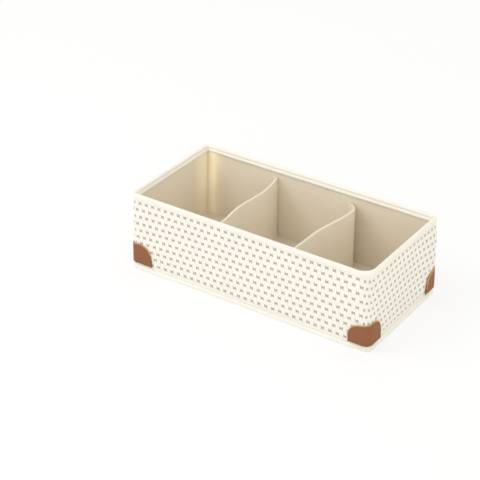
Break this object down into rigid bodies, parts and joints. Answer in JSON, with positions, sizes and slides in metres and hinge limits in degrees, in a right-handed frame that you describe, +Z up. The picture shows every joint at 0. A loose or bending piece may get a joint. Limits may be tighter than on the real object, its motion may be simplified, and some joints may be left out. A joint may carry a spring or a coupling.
{
  "type": "drawer organizer",
  "caption": "Open rectangular cloth box on card boards, bound along rim and foot, with cloth-sleeved dividers and leatherette corner guards.",
  "frame": {"origin": "middle of the foot, on the surface that the box stands on", "axes": "+X along the length, +Y from the front wall to the back wall, +Z up"},
  "size_m": [0.3102, 0.1468, 0.095],
  "materials": {
    "printed_cover": "plain woven cloth, cream with a small taupe print",
    "wall_lining": "plain beige lining cloth",
    "top_binding": "cream binding tape",
    "bottom_binding": "cream binding tape",
    "front_board": "grey card",
    "back_board": "grey card",
    "left_board": "grey card",
    "right_board": "grey card",
    "base_cloth": "plain cream cloth",
    "base_board": "grey card",
    "base_lining": "plain beige lining cloth",
    "divider_left_board": "grey card",
    "divider_left_sleeve": "plain beige lining cloth",
    "divider_right_board": "grey card",
    "divider_right_sleeve": "plain beige lining cloth",
    "corner_guard_front_left": "brown leatherette",
    "corner_guard_front_right": "brown leatherette",
    "corner_guard_back_left": "brown leatherette",
    "corner_guard_back_right": "brown leatherette"
  },
  "bodies": {
    "root": {"printed_cover": "printed_cover", "wall_lining": "wall_lining", "top_binding": "top_binding", "bottom_binding": "bottom_binding", "front_board": "front_board", "back_board": "back_board", "left_board": "left_board", "right_board": "right_board", "base_cloth": "base_cloth", "base_board": "base_board", "base_lining": "base_lining", "divider_left_board": "divider_left_board", "divider_left_sleeve": "divider_left_sleeve", "divider_right_board": "divider_right_board", "divider_right_sleeve": "divider_right_sleeve", "corner_guard_front_left": "corner_guard_front_left", "corner_guard_front_right": "corner_guard_front_right", "corner_guard_back_left": "corner_guard_back_left", "corner_guard_back_right": "corner_guard_back_right"}
  },
  "joints": []
}
